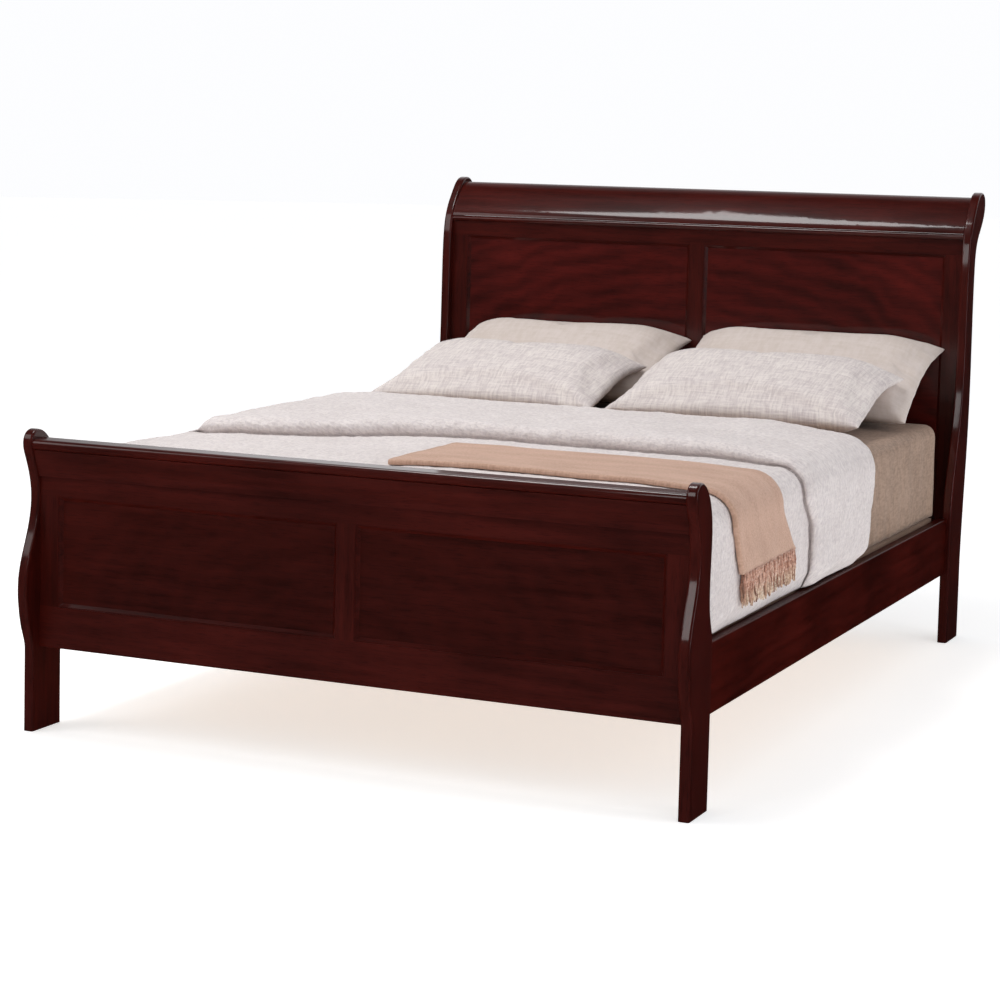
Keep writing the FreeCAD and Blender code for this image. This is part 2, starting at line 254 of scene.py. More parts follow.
def zinc_steel():
    m = Nodes("zinc_steel")
    spangle = m.noise(m.place("object", (1.0, 1.0, 1.0)), 90.0, 3.0)
    m.link(m.ramp(spangle, [(0.3, (0.42, 0.42, 0.43)), (0.7, (0.62, 0.62, 0.60))]),
           m.shader.inputs["Base Color"])
    m.link(m.range(spangle, 0.28, 0.45), m.shader.inputs["Roughness"])
    m.set(Metallic=1.0)
    return m.material


def black_plastic():
    m = Nodes("black_plastic")
    grain = m.noise(m.place("object", (1.0, 1.0, 1.0)), 900.0, 2.0)
    m.link(m.ramp(grain, [(0.3, (0.015, 0.015, 0.016)), (0.7, (0.03, 0.03, 0.03))]),
           m.shader.inputs["Base Color"])
    m.link(m.bump(grain, 0.2, 0.0002), m.shader.inputs["Normal"])
    m.set(Roughness=0.5)
    return m.material


WEAVE_SCALE = 143.0
CLOTH_SHEEN = 0.15


def cloth(name, color, shade, slub=(30.0, 150.0), crinkle=0.0, ribs=0.0, seed=0.0):
    """Woven cloth: a fine plain weave, uneven yarns both ways, and crinkles or raised cords, with painted
    shade darkening the hollows between them.
    """
    m = Nodes(name)
    plain = m.place("cloth", (1.0, 1.0, 1.0), seed)
    across = m.noise(m.place("cloth", (slub[0], slub[1], 40.0), seed), 1.0, 3.0, 0.6)
    along = m.noise(m.place("cloth", (slub[1], slub[0], 40.0), seed + 5.0), 1.0, 3.0, 0.6)
    warp = m.wave(plain, "X", WEAVE_SCALE, 0.6, 1.0)
    weft = m.wave(plain, "Y", WEAVE_SCALE, 0.6, 1.0)
    threads = m.math("MULTIPLY", warp, weft)
    yarns = m.blend(0.5, across, along)
    tone = m.blend(0.25, yarns, m.noise(plain, 7.0, 2.0, 0.5))
    tint = m.ramp(tone, [(0.42, shade), (0.57, color)])
    normal = m.bump(threads, 0.25, 0.0004)
    normal = m.bump(yarns, 0.7, 0.0016, normal)
    if crinkle > 0.0:
        creases = m.noise(m.place("cloth", (1.0, 1.4, 1.0), seed + 9.0), 95.0, 3.0, 0.6, 0.6)
        normal = m.bump(creases, 1.0, crinkle, normal)
        # painted shade: the hollows of the crinkles are darkened in the colour
        painted_crease_shade = m.ramp(creases, [(0.40, (0.84, 0.83, 0.85)), (0.56, (1.0, 1.0, 1.0))])
        tint = m.blend(0.9, tint, painted_crease_shade, "MULTIPLY")
    if ribs > 0.0:
        cords = m.noise(m.place("cloth", (230.0, 24.0, 30.0), seed + 2.0), 1.0, 2.0, 0.6)
        rows = m.noise(m.place("cloth", (18.0, 210.0, 30.0), seed + 4.0), 1.0, 2.0, 0.6)
        cords = m.blend(0.42, cords, rows)
        normal = m.bump(cords, 1.0, ribs, normal)
        # painted shade: the hollows between the raised cords are darkened in the colour
        painted_crease_shade = m.ramp(cords, [(0.42, (0.82, 0.80, 0.82)), (0.55, (1.0, 1.0, 1.0))])
        tint = m.blend(0.9, tint, painted_crease_shade, "MULTIPLY")
    m.link(tint, m.shader.inputs["Base Color"])
    m.link(normal, m.shader.inputs["Normal"])
    m.set(Roughness=0.9, Specular_IOR_Level=0.2, Sheen_Weight=CLOTH_SHEEN, Sheen_Roughness=0.5)
    return m.material


def fringe_yarn():
    """Twisted fringe yarns, rosy at the hem and from cream to brown at the tips."""
    m = Nodes("fringe_yarn")
    split = m.add("ShaderNodeSeparateXYZ")
    m.link(m.add("ShaderNodeAttribute", attribute_name="cloth").outputs["Vector"], split.inputs[0])
    fuzz = m.noise(m.place("cloth", (40.0, 300.0, 18.0)), 1.0, 3.0)
    upper = m.ramp(split.outputs["X"], [(0.0, (0.36, 0.17, 0.11)), (0.4, (0.62, 0.34, 0.25)),
                                        (1.0, (0.76, 0.50, 0.39))])
    tips = m.ramp(split.outputs["X"], [(0.0, (0.20, 0.09, 0.06)), (0.32, (0.55, 0.33, 0.23)),
                                       (0.6, (0.78, 0.58, 0.43)), (1.0, (0.86, 0.72, 0.58))])
    low_down = m.ramp(split.outputs["Z"], [(0.45, (0.0, 0.0, 0.0)), (0.8, (1.0, 1.0, 1.0))])
    color = m.blend(low_down, upper, tips)
    twist = m.ramp(fuzz, [(0.36, (0.50, 0.42, 0.38)), (0.58, (1.0, 1.0, 1.0))])
    color = m.blend(0.7, color, twist, "MULTIPLY")
    m.link(color, m.shader.inputs["Base Color"])
    m.link(m.bump(fuzz, 0.6, 0.0006), m.shader.inputs["Normal"])
    m.set(Roughness=0.95, Specular_IOR_Level=0.1, Sheen_Weight=0.3)
    return m.material


DARK_CHERRY = (0.018, 0.0018, 0.0010)
LIT_CHERRY = (0.072, 0.0058, 0.0032)
PANEL_DARK = (0.024, 0.0020, 0.0012)
PANEL_LIT = (0.088, 0.0058, 0.0038)
# painted shade: a darker copy of the cherry colours, for the footboard's front panels and the dark end of
# the side rails' grain
SHADED_CHERRY_DARK = (0.014, 0.0013, 0.0006)
SHADED_CHERRY_LIGHT = (0.056, 0.0042, 0.0020)
RAIL_GLOSS = 0.04
RAIL_SHINE = 0.05


def finish_frame():
    """Gives every node of the frame its procedural material."""
    wood = {axis: cherry("cherry_" + axis, axis, seed, DARK_CHERRY, LIT_CHERRY)
            for axis, seed in (("x", 1.0), ("z", 7.0))}
    # painted shade: the footboard panels take the darker copy of the cherry colours
    foot_panel = cherry("cherry_foot_panel_painted_shade", "x", 11.0, SHADED_CHERRY_DARK, SHADED_CHERRY_LIGHT, 0.04)
    head_panel = cherry("cherry_head_panel", "x", 15.0, PANEL_DARK, PANEL_LIT, 0.13)
    # painted shade: the dark end of the rails' grain comes from the darker copy of the cherry colours
    rail_wood = cherry("cherry_rail", "y", 4.0, SHADED_CHERRY_DARK, LIT_CHERRY, 0.0, RAIL_GLOSS, RAIL_SHINE)
    pine = {axis: bare_pine("pine_" + axis, axis, seed)
            for axis, seed in (("x", 2.0), ("y", 5.0), ("z", 8.0))}
    steel = zinc_steel()
    plastic = black_plastic()
    for name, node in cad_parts.items():
        if name.startswith("headboard_panel"):
            material = head_panel
        elif name.startswith("footboard_panel"):
            material = foot_panel
        elif "_post_" in name or "_stile_" in name:
            material = wood["z"]
        elif name.startswith("side_rail"):
            material = rail_wood
        elif name == "slats":
            material = pine["x"]
        elif name == "ledger_screws" or name.endswith("_plates"):
            material = steel
        elif name.startswith("ledger") or name == "centre_beam":
            material = pine["y"]
        elif name == "support_legs":
            material = pine["z"]
        elif name == "support_glides":
            material = plastic
        else:
            material = wood["x"]
        for place in node.material_slots:
            place.material = material


# ---------------------------------------------------------------- mesh helpers

def make_piece(name, points, faces, material, cloth_coords=None):
    """Mesh object with smooth faces, linked to the scene, with cloth coordinates in metres."""
    mesh = bpy.data.meshes.new(name)
    mesh.from_pydata([tuple(p) for p in points], [], faces)
    mesh.validate()
    mesh.update()
    mesh.shade_smooth()
    if cloth_coords is not None:
        set_cloth_coords(mesh, cloth_coords)
    mesh.materials.append(material)
    piece = bpy.data.objects.new(name, mesh)
    bpy.context.scene.collection.objects.link(piece)
    return piece


def set_cloth_coords(mesh, coords):
    layer = mesh.attributes.get("cloth") or mesh.attributes.new("cloth", "FLOAT_VECTOR", "POINT")
    layer.data.foreach_set("vector", np.asarray(coords, np.float32).ravel())


def grid_faces(index):
    """Faces over a grid of vertex numbers; a corner that is used twice is dropped."""
    faces = []
    rows, columns = index.shape
    for i in range(rows - 1):
        for j in range(columns - 1):
            loop = [index[i, j], index[i, j + 1], index[i + 1, j + 1], index[i + 1, j]]
            kept = [int(v) for k, v in enumerate(loop) if v != loop[k - 1]]
            if len(set(kept)) > 2:
                faces.append(tuple(kept))
    return faces


def open_edges(faces):
    """Edges used by one face, in that face's direction."""
    seen = {}
    for face in faces:
        for k, v in enumerate(face):
            a, b = face[k - 1], v
            if (b, a) in seen:
                del seen[(b, a)]
            else:
                seen[(a, b)] = True
    return list(seen)


def apply_modifiers(piece):
    """Replaces the mesh by its evaluated one, and drops the modifiers."""
    graph = bpy.context.evaluated_depsgraph_get()
    mesh = bpy.data.meshes.new_from_object(piece.evaluated_get(graph))
    piece.modifiers.clear()
    piece.data = mesh


def subdivide(piece, levels=1):
    piece.modifiers.new("subdivision", "SUBSURF").levels = levels
    piece.modifiers["subdivision"].render_levels = levels
    apply_modifiers(piece)


def thicken(piece, thickness, offset):
    """Gives a cloth its thickness: offset 1 builds it outwards and 0 evenly to both sides."""
    solid = piece.modifiers.new("thickness", "SOLIDIFY")
    solid.thickness = thickness
    solid.offset = offset
    apply_modifiers(piece)


def get_points(mesh):
    flat = np.empty(len(mesh.vertices) * 3)
    mesh.vertices.foreach_get("co", flat)
    return flat.reshape(-1, 3)


def set_points(mesh, points):
    mesh.vertices.foreach_set("co", np.asarray(points, float).ravel())
    mesh.update()


def rounded_box(lo, hi, radius, step, open_bottom=False):
    """Evenly divided box with rounded edges: vertex array and faces."""
    lo, hi = np.array(lo), np.array(hi)
    counts = [max(2, int(round((hi[k] - lo[k]) / step))) for k in range(3)]
    numbers, points, faces = {}, [], []

    def vertex(i, j, k):
        key = (i, j, k)
        if key not in numbers:
            numbers[key] = len(points)
            part = np.array([i / counts[0], j / counts[1], k / counts[2]])
            points.append(lo + (hi - lo) * part)
        return numbers[key]

    def side(fixed, value, flip):
        a, b = [k for k in range(3) if k != fixed]
        index = np.empty((counts[a] + 1, counts[b] + 1), int)
        for i in range(counts[a] + 1):
            for j in range(counts[b] + 1):
                place = [0, 0, 0]
                place[fixed], place[a], place[b] = value, i, j
                index[i, j] = vertex(*place)
        made = grid_faces(index)
        faces.extend([face[::-1] for face in made] if flip else made)

    side(0, 0, False)
    side(0, counts[0], True)
    side(1, 0, True)
    side(1, counts[1], False)
    if not open_bottom:
        side(2, 0, False)
    side(2, counts[2], True)
    points = np.array(points)
    low = lo + radius
    if open_bottom:
        low[2] = lo[2] - radius
    core = np.clip(points, low, hi - radius)
    away = points - core
    length = np.linalg.norm(away, axis=1, keepdims=True)
    moved = core + away / np.maximum(length, 1e-9) * radius
    return np.where(length > 1e-6, moved, points), faces


# ---------------------------------------------------------------- mattress, sheet, foundation

def build_foundation(material):
    """Cloth-covered box spring, drawn in slightly round the middle of its sides."""
    lo, hi = np.array(FOUNDATION_LO), np.array(FOUNDATION_HI)
    points, faces = rounded_box(lo, hi, 0.012, 0.03)
    middle = (lo[2] + hi[2]) / 2
    on_side = np.abs(points[:, 2] - middle) < 0.04
    dip = 0.0015 * (1 + rough(points[:, 0], points[:, 1], points[:, 2], 9.0, 21.0))
    centre = (lo + hi) / 2
    points[on_side, :2] -= np.sign(points[on_side, :2] - centre[:2]) * dip[on_side, None] * 0.5
    piece = make_piece("foundation_cover", points, faces, material, points)
    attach(piece, "foundation")
    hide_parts("foundation")


def build_mattress(material):
    """Mattress core with a quilted top and bottom panel."""
    points, faces = rounded_box(np.array(MATTRESS_LO), np.array(MATTRESS_HI), 0.032, 0.02)
    x, y, z = points.T
    middle = (MATTRESS_LO.z + MATTRESS_HI.z) / 2
    quilt = np.abs(np.sin((x + y) * math.pi / 0.20) * np.sin((x - y) * math.pi / 0.20))
    flat = smooth((np.abs(z - middle) - 0.105) / 0.02)
    points[:, 2] -= np.sign(z - middle) * flat * 0.004 * (1.0 - quilt) ** 2
    piece = make_piece("mattress_core", points, faces, material, points)
    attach(piece, "mattress")
    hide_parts("mattress")


SHEET_THICK = 0.0012


def build_sheet(material):
    """Fitted sheet: one cloth stretched over the mattress, with faint pulls at the corners."""
    lo, hi = np.array(SHEET_LO), np.array(SHEET_HI)
    points, faces = rounded_box(lo, hi, 0.0335, 0.0125, open_bottom=True)
    x, y, z = points.T
    centre = (lo + hi) / 2
    side = smooth((np.abs(x - centre[0]) - (hi[0] - 0.05)) / 0.04)
    end = smooth((np.abs(y - centre[1]) - ((hi[1] - lo[1]) / 2 - 0.05)) / 0.04)
    fall = np.clip((hi[2] - z) / (hi[2] - lo[2]), 0.0, 1.0)
    pull = rough(x, y * 3.0, z * 0.7, 7.0, 31.0) * 0.0035 + rough(x, y, z, 14.0, 37.0) * 0.0012
    points[:, 0] += np.sign(x) * side * pull * (0.3 + fall)
    points[:, 1] += np.sign(y - centre[1]) * end * pull * (0.3 + fall)
    points[:, 2] += (1 - side) * (1 - end) * rough(x, y, z, 6.0, 41.0) * 0.0018 * (z > hi[2] - 0.002)
    piece = make_piece("fitted_sheet_cloth", points, faces, material, unrolled(points, centre))
    thicken(piece, SHEET_THICK, 1.0)
    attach(piece, "mattress")
    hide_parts("fitted_sheet")


def unrolled(points, centre):
    """Cloth coordinates that keep running when the cloth turns down over a side or an end."""
    coords = np.array(points)
    away = coords - centre
    drop = SHEET_HI.z - coords[:, 2]
    over_side = SHEET_HI.x - np.abs(away[:, 0]) < (SHEET_HI.y - SHEET_LO.y) / 2 - np.abs(away[:, 1])
    coords[:, 0] += np.sign(away[:, 0]) * drop * over_side
    coords[:, 1] += np.sign(away[:, 1]) * drop * ~over_side
    coords[:, 2] = 0.0
    return coords


# ---------------------------------------------------------------- wrap over the mattress

EDGE_R = 0.036
CORE_X = SHEET_HI.x - EDGE_R + 0.001
CORE_Z = SHEET_HI.z - EDGE_R + 0.001
FOOT_CORE_Y = SHEET_LO.y + EDGE_R - 0.001
HEM_Z = RAIL_HI.z + 0.004
STEP = 0.0125


def section(hem_z=HEM_Z, left=None):
    """Cross-section over the mattress from the right hem to the left hem, or to x = left on top.

    Returns core points (x, z), normals (x, z), and how far down the side each point is, 0 to 1."""
    core, normal, fall = [], [], []
    side_count = int(round((CORE_Z - hem_z) / STEP))
    sides = np.linspace(hem_z, CORE_Z, side_count + 1)
    for z in sides:
        core.append((CORE_X, z))
        normal.append((1.0, 0.0))
        fall.append((CORE_Z - z) / (CORE_Z - hem_z))
    arc_count = 8
    for i in range(1, arc_count):
        angle = math.pi / 2 * i / arc_count
        core.append((CORE_X, CORE_Z))
        normal.append((math.cos(angle), math.sin(angle)))
        fall.append(0.0)
    end = -CORE_X if left is None else left
    count = int(round((CORE_X - end) / STEP))
    for x in np.linspace(CORE_X, end, count + 1):
        core.append((x, CORE_Z))
        normal.append((0.0, 1.0))
        fall.append(0.0)
    core, normal, fall = np.array(core), np.array(normal), np.array(fall)
    if left is None:
        mirrored = slice(side_count + arc_count - 1, None, -1)
        core = np.vstack([core, core[mirrored] * (-1, 1)])
        normal = np.vstack([normal, normal[mirrored] * (-1, 1)])
        fall = np.concatenate([fall, fall[mirrored]])
    return core, normal, fall, side_count, arc_count


def cloth_run(core, normal):
    """Distance along the cross-section, measured on the cloth, zero at the middle of the top."""
    reach = EDGE_R + 0.03
    angle = np.arctan2(normal[:, 1], np.abs(normal[:, 0]))
    down = np.where(normal[:, 1] < 1.0, reach * (math.pi / 2 - angle) + (CORE_Z - core[:, 1]), 0.0)
    return core[:, 0] + np.sign(core[:, 0]) * down


# ---------------------------------------------------------------- duvet

HEM_Y = LEG_FRONT_Y + 0.800
FOLD_Y = LEG_FRONT_Y + 1.335
LAYER = 0.037
SIDE_LAYER = 0.026
LAP = 0.036
SIDE_LAP = 0.021
LAP_LEFT = -0.715
LAP_ROUND = 0.06
SKIN = 0.06
LINING_GAP = 0.0008
LAP_ROWS = 40
LOWER_ROWS = 110
FOOT_ARC_ROWS = 8


def hem_line(core_x, fall=0.0):
    """Y of the turned-down hem, which strays to the foot on the left and to the head at the right side."""
    left = smooth((-0.05 - core_x) / 0.50)
    wave = 0.006 * np.sin(core_x * 9.0) + 0.004 * np.sin(core_x * 23.0 + 1.0)
    corner = 0.06 * smooth((-0.63 - core_x) / 0.09)
    hang = 0.05 * smooth(fall / 0.35) * (core_x > 0)
    return HEM_Y - 0.23 * left + wave + corner + hang


def fold_line(fall):
    """Y of the fold at the head end, which drifts back where it hangs at the sides."""
    return FOLD_Y - 0.10 * fall ** 1.6


def shoulder(x):
    """How near a point on top is to the bed's edge, 0 to 1; the duvet thins there, most on the left."""
    return smooth((np.abs(x) - 0.54) / 0.22) * np.where(x < 0, 1.0, 0.6)


def lap_end(x):
    """Share of the lap's height, which rounds off to nothing short of the bed's left edge."""
    inside = np.clip((x - LAP_LEFT) / LAP_ROUND, 0.0, 1.0)
    return np.sqrt(1.0 - (1.0 - inside) ** 2)


def lower_surface(x, y, z, side, fall):
    """Thickness of the lower layer over the mattress, with soft swells and creases."""
    base = LAYER * (1.0 - 0.35 * shoulder(x))
    base = base + (SIDE_LAYER - base) * side
    swell = 0.0035 * rough(x, y, z, 3.5, 51.0)
    crease = np.abs(rough(x * 0.6, y * 1.6, z, 8.0, 53.0))
    folds = 0.010 * side * (0.3 + fall) * rough(x, y + z * 0.4, z * 0.25, 7.0, 57.0)
    return base + swell + folds + 0.003 * (0.4 - crease)


def lap_surface(x, y, z, side, fall, distance):
    """Height of the turned-down layer over the lower one, fuller near its hem and fold."""
    base = LAP * (1.0 - 0.5 * shoulder(np.maximum(x, 0.0)))
    base = base + (SIDE_LAP - base) * side
    swell = 0.005 * rough(x, y, z, 4.5, 61.0)
    pucker = 0.003 * rough(x, y, z, 21.0, 63.0) * np.exp(-distance / 0.07)
    folds = 0.009 * side * (0.3 + fall) * rough(x, y - z * 0.6, z * 0.3, 9.0, 67.0)
    drape = 0.004 * rough(x * 0.5, y * 1.5, z, 9.0, 69.0)
    return 0.0015 + (base + swell + pucker + folds + drape) * lap_end(x)


# rows past the hem and round the head fold: distance along y, and share of the lap's height
HEM_PROFILE = [(-0.060, 0.0), (-0.030, 0.0), (-0.012, -0.04), (0.000, -0.16), (0.005, -0.20),
               (0.004, 0.0), (-0.003, 0.10), (-0.008, 0.28), (-0.009, 0.50), (-0.004, 0.72),
               (0.006, 0.88), (0.020, 0.96), (0.040, 1.0)]
FOLD_PROFILE = [(-0.050, 1.0), (-0.030, 0.97), (-0.014, 0.88), (-0.004, 0.70), (0.0, 0.45),
                (-0.001, 0.15)]


def hem_tuck(fall):
    """Share of the thickness left where the duvet thins towards the rail."""
    return 1.0 - 0.55 * smooth((fall - 0.80) / 0.20)


def duvet_rows(hem_y, fold_y):
    """Rows from the head fold to the foot: y of each column, share of the lap, turn over the foot."""
    rows = [(fold_y + dy, share, 0.0) for dy, share in reversed(FOLD_PROFILE)]
    for i in range(1, LAP_ROWS):
        part = i / LAP_ROWS
        y = (fold_y + FOLD_PROFILE[0][0]) * (1 - part) + (hem_y + HEM_PROFILE[-1][0]) * part
        rows.append((y, 1.0, 0.0))
    rows += [(hem_y + dy, share, 0.0) for dy, share in reversed(HEM_PROFILE)]
    for i in range(1, LOWER_ROWS + 1):
        part = i / LOWER_ROWS
        rows.append(((hem_y + HEM_PROFILE[0][0]) * (1 - part) + FOOT_CORE_Y * part, 0.0, 0.0))
    edge = np.full(len(hem_y), FOOT_CORE_Y)
    for i in range(1, FOOT_ARC_ROWS + 1):
        rows.append((edge, 0.0, math.pi / 2 * i / FOOT_ARC_ROWS))
    return rows


def duvet_row(core, normal, fall, row, hem_y, fold_y):
    """Outer points and lining points of one row."""
    y, share, angle = row
    side = normal[:, 0] ** 2
    around = np.maximum(side, math.sin(angle) ** 2)
    x0 = core[:, 0] + normal[:, 0] * SKIN * math.cos(angle)
    z0 = core[:, 1] + normal[:, 1] * SKIN * math.cos(angle)
    near = np.minimum(np.abs(y - hem_y), np.abs(y - fold_y))
    low = lower_surface(x0, y - SKIN * math.sin(angle), z0, around, fall)
    lap = lap_surface(x0, y, z0, side, fall, near)
    thick = (low + lap * share) * hem_tuck(fall)
    lining = np.full(len(core), LINING_GAP)
    return wrapped(core, normal, y, thick, angle), wrapped(core, normal, y, lining, angle)


def duvet_coords(core, normal, outer, drop_coords):
    """Cloth coordinates in metres, across and along the cloth."""
    steps = np.linalg.norm(np.diff(np.array(outer), axis=0), axis=2)
    travel = np.vstack([np.zeros(len(core)), np.cumsum(steps, axis=0)])
    run = np.broadcast_to(cloth_run(core, normal), travel.shape)
    flat = np.stack([run, travel, 0.0 * travel], axis=2).reshape(-1, 3)
    drop_coords[:, 1] += travel[-1, len(core) // 2]
    return np.vstack([flat, drop_coords])


def closed_skin(grids, count):
    """Faces of an outer skin with count points, its lining and the rim between them."""
    outside = [face for grid in grids for face in grid_faces(grid)]
    lining = [tuple(v + count for v in reversed(face)) for face in outside]
    rim = [(b, a, a + count, b + count) for a, b in open_edges(outside)]
    return outside + lining + rim


def build_duvet(material):
    """Duvet over the mattress, down the sides and the foot, turned back on itself at the head."""
    core, normal, fall, side_count, arc_count = section()
    hem_y, fold_y = hem_line(core[:, 0], fall), fold_line(fall)
    rows = duvet_rows(hem_y, fold_y)
    skins = [duvet_row(core, normal, fall, row, hem_y, fold_y) for row in rows]
    outer = [skin[0] for skin in skins]
    inner = [skin[1] for skin in skins]
    grids, outer_drop, inner_drop, drop_coords = foot_drop(core, side_count, arc_count, len(rows))
    flat = duvet_coords(core, normal, outer, drop_coords)
    outer = np.vstack(outer + [outer_drop])
    inner = np.vstack(inner + [inner_drop])
    faces = closed_skin(grids, len(outer))
    points = np.vstack([outer, inner])
    piece = make_piece("duvet_cover", points, faces, material, np.vstack([flat, flat]))
    tidy_mesh(piece)
    subdivide(piece)
    crinkle_skin(piece)
    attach(piece, "duvet")
    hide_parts("duvet")


def wrapped(core, normal, y, thick, angle):
    """Points at a distance from the mattress core; angle turns them down over the foot edge."""
    reach = EDGE_R + thick
    x = core[:, 0] + normal[:, 0] * reach * math.cos(angle)
    z = core[:, 1] + normal[:, 1] * reach * math.cos(angle)
    return np.column_stack([x, y - reach * math.sin(angle), z])


def foot_drop(core, side_count, arc_count, row_count):
    """Grids of vertex numbers for the wrap and for its drop over the foot end, and the drop's points."""
    width = len(core)
    main = np.arange(row_count * width).reshape(row_count, width)
    last = main[-1]
    first_top = side_count + arc_count
    top = np.arange(first_top, width - first_top)
    last[side_count:first_top] = last[first_top]
    last[width - first_top:width - side_count] = last[width - first_top - 1]
    drop = np.empty((side_count + 1, len(top)), int)
    drop[0] = last[top]
    outer, inner, flat = [], [], []
    base = row_count * width
    for k in range(1, side_count + 1):
        z = core[side_count - k, 1]
        drop[k, 0] = last[side_count - k]
        drop[k, -1] = last[width - 1 - (side_count - k)]
        for j in range(1, len(top) - 1):
            drop[k, j] = base + len(outer)
            x = core[top[j], 0]
            there = [np.array([value]) for value in (x, FOOT_CORE_Y - SKIN, z)]
            thick = float(lower_surface(*there, 1.0, k / side_count)[0])
            thick *= float(hem_tuck(k / side_count))
            outer.append((x, FOOT_CORE_Y - EDGE_R - thick, z))
            inner.append((x, FOOT_CORE_Y - EDGE_R - LINING_GAP, z))
            flat.append((x, CORE_Z - z, 0.0))
    return [main, drop], np.array(outer), np.array(inner), np.array(flat)


CRINKLE = 0.0018
HEM_PUCKER = 0.0024


def crinkle_skin(piece):
    """Fine crinkles all over the cover, and gathers along the turned-down hem."""
    mesh = piece.data
    points = get_points(mesh)
    normals = np.empty(len(mesh.vertices) * 3)
    mesh.vertices.foreach_get("normal", normals)
    normals = normals.reshape(-1, 3)
    x, y, z = points.T
    clear = smooth((points[:, 2] - HEM_Z - 0.01) / 0.03)
    reach = np.maximum(np.abs(x) - CORE_X, z - CORE_Z)
    outside = smooth((reach - EDGE_R - 0.006) / 0.006)
    foot = smooth((FOOT_CORE_Y - EDGE_R - 0.006 - y) / 0.006)
    outside = np.maximum(outside, foot)
    fine = rough(x, y * 1.3, z, 55.0, 81.0)
    hang = np.clip((CORE_Z - z) / (CORE_Z - HEM_Z), 0.0, 1.0)
    from_hem = np.abs(y - hem_line(x, hang) - 0.012)
    gathers = rough(x * 1.2, y, z * 1.2, 46.0, 83.0) * np.exp(-from_hem / 0.022)
    on_side = smooth((np.abs(x) - CORE_X) / EDGE_R)
    height = (CRINKLE * fine + HEM_PUCKER * (1.0 + on_side) * gathers) * clear * outside
    set_points(mesh, points + normals * height[:, None])


def tidy_mesh(piece):
    """Drops the loose vertices left at the foot corners, and turns the faces outwards."""
    used = np.zeros(len(piece.data.vertices), bool)
    for polygon in piece.data.polygons:
        used[list(polygon.vertices)] = True
    work = bmesh.new()
    work.from_mesh(piece.data)
    work.verts.ensure_lookup_table()
    loose = [work.verts[i] for i in np.nonzero(~used)[0]]
    bmesh.ops.delete(work, geom=loose, context="VERTS")
    bmesh.ops.recalc_face_normals(work, faces=work.faces)
    work.to_mesh(piece.data)
    work.free()


# ---------------------------------------------------------------- throw

THROW_FRONT = THROW_LO.y
THROW_REAR = THROW_HI.y
THROW_LAYER = 0.0100
THROW_THICK = 0.0032
THROW_GAP = 0.0022
LAYER_STEPS = 30
TURN_ANGLES = (-60, -20, 20, 60)
TASSEL_SPACING = 0.0052


def throw_edges(fall, x):
    """Near and far edge of the throw at each column; the hanging part spreads towards the head."""
    tip = 0.035 * smooth((0.12 - x) / 0.12)
    front = THROW_FRONT - tip + 0.045 * fall
    rear = THROW_REAR - 0.01 + 0.11 * fall ** 1.2
    return front, rear


def throw_row(core, normal, fall, y, lift):
    """One row of the throw, which follows the duvet below it."""
    side = normal[:, 0] ** 2
    x0 = core[:, 0] + normal[:, 0] * SKIN
    z0 = core[:, 1] + normal[:, 1] * SKIN
    under = lower_surface(x0, y, z0, side, fall * 0.45)
    ease = 0.0025 * rough(x0, y * 1.4, z0 * 0.4, 9.0, 71.0) * (0.35 + 0.9 * side)
    return wrapped(core, normal, y, under + THROW_GAP + np.abs(ease) + lift, 0.0)


def build_throw(material, yarn):
    """Camel throw folded double, lying across the duvet and hanging over the right side."""
    core, normal, fall, _, _ = section(THROW_LO.z - 0.002, THROW_LO.x)
    front, rear = throw_edges(fall, core[:, 0])
    run = cloth_run(core, normal)
    path = throw_path()
    rows = [throw_row(core, normal, fall, front + (rear - front) * u, lift) for u, lift, _ in path]
    flat = [np.column_stack([run, np.full(len(run), travel), run * 0]) for _, _, travel in path]
    points = np.vstack(rows)
    index = np.arange(len(points)).reshape(len(rows), len(core))
    piece = make_piece("throw_cloth", points, grid_faces(index), material, np.vstack(flat))
    thicken(piece, THROW_THICK, 0.0)
    tassels = build_fringe(points.reshape(len(rows), len(core), 3), yarn)
    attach(piece, "throw")
    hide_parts("throw")
    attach(tassels, "throw")
    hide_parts("throw_fringe")


def throw_path():
    """Section of the folded cloth: share across, lift, run. It ends tucked round the near edge."""
    half = THROW_LAYER / 2
    path = [(0.035 + i / LAYER_STEPS * 0.95, 0.0) for i in range(LAYER_STEPS + 1)]
    for angle in TURN_ANGLES:
        a = math.radians(angle)
        path.append((0.985 + 0.012 * math.cos(a), half + half * math.sin(a)))
    path += [(0.985 - i / LAYER_STEPS * 0.972, THROW_LAYER) for i in range(LAYER_STEPS + 1)]
    for angle in reversed(TURN_ANGLES):
        a = math.radians(angle)
        path.append((0.013 - 0.012 * math.cos(a), half + half * math.sin(a)))
    path.append((0.024, 0.0))
    travel = 0.0
    result = [(*path[0], 0.0)]
    for before, after in zip(path, path[1:]):
        travel += abs(after[0] - before[0])
        result.append((*after, travel))
    return result


def build_fringe(cloth_grid, yarn):
    """Rows of twisted tassels along the throw's hanging end, one row for each layer."""
    chooser = random.Random(8)
    points, faces, tones = [], [], []
    hem = cloth_grid[:, 0, :]
    second = LAYER_STEPS + 1 + len(TURN_ANGLES)
    for layer, start in enumerate((0, second)):
        line = hem[start:start + LAYER_STEPS + 1]
        steps = np.linalg.norm(np.diff(line, axis=0), axis=1)
        along = np.concatenate([[0.0], np.cumsum(steps)])
        count = int(along[-1] / TASSEL_SPACING)
        for i in range(count):
            s = (i + 0.5) / count * along[-1]
            root = np.array([np.interp(s, along, line[:, k]) for k in range(3)])
            tassel(points, faces, tones, root, layer, chooser)
    return make_piece("throw_tassels", points, faces, yarn, tones)


